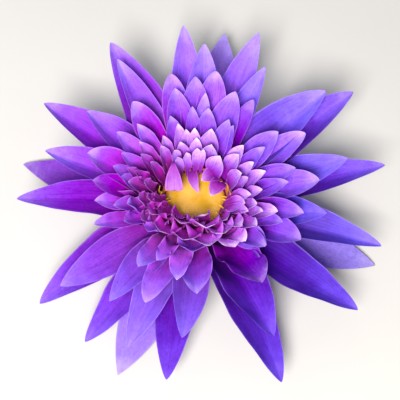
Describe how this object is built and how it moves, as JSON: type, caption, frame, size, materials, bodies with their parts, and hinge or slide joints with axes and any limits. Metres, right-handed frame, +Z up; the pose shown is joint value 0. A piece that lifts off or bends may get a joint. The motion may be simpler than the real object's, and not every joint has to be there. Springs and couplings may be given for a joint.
{
  "type": "water lily flower",
  "caption": "Very full violet water lily blossom, cut under its head, standing on its sepals, with a wet yellow stigma in the middle.",
  "frame": {"origin": "middle of the flower's outline, on the surface that it stands on", "axes": "+Z up along the flower's axis, +Y towards the far side as the picture sees it, +X to its right"},
  "size_m": [0.153, 0.158, 0.04],
  "materials": {
    "stem": "smooth green stalk",
    "ovary": "smooth green ovary wall",
    "stigma": "wet yellow",
    "horns": "waxy orange yellow",
    "sepal": "grey lilac inside, green outside",
    "violet_petal": "satin violet petal",
    "magenta_petal": "satin magenta violet petal",
    "lilac_petal": "satin lilac petal"
  },
  "bodies": {
    "root": {"stem_stub": "stem", "ovary": "ovary", "stigma": "stigma", "stigma_horns": "horns", "sepal_01": "sepal", "sepal_02": "sepal", "sepal_03": "sepal", "sepal_04": "sepal", "outer_petal_01": "violet_petal", "outer_petal_02": "violet_petal", "outer_petal_03": "violet_petal", "outer_petal_04": "violet_petal", "outer_petal_05": "violet_petal", "outer_petal_06": "violet_petal", "outer_petal_07": "violet_petal", "outer_petal_08": "violet_petal", "outer_petal_09": "violet_petal", "outer_petal_10": "violet_petal", "outer_petal_11": "violet_petal", "outer_petal_12": "violet_petal", "outer_petal_13": "violet_petal", "second_petal_01": "violet_petal", "second_petal_02": "violet_petal", "second_petal_03": "violet_petal", "second_petal_04": "violet_petal", "second_petal_05": "violet_petal", "second_petal_06": "violet_petal", "second_petal_07": "violet_petal", "second_petal_08": "violet_petal", "second_petal_09": "violet_petal", "second_petal_10": "violet_petal", "second_petal_11": "violet_petal", "second_petal_12": "violet_petal", "second_petal_13": "violet_petal", "third_petal_01": "magenta_petal", "third_petal_02": "magenta_petal", "third_petal_03": "magenta_petal", "third_petal_04": "magenta_petal", "third_petal_05": "magenta_petal", "third_petal_06": "magenta_petal", "third_petal_07": "magenta_petal", "third_petal_08": "magenta_petal", "third_petal_09": "magenta_petal", "third_petal_10": "magenta_petal", "third_petal_11": "magenta_petal", "third_petal_12": "magenta_petal", "third_petal_13": "magenta_petal", "fourth_row_of_petals": "magenta_petal", "fifth_row_of_petals": "magenta_petal", "sixth_row_of_petals": "lilac_petal", "seventh_row_of_petals": "lilac_petal", "innermost_row_of_petals": "lilac_petal"}
  },
  "joints": []
}
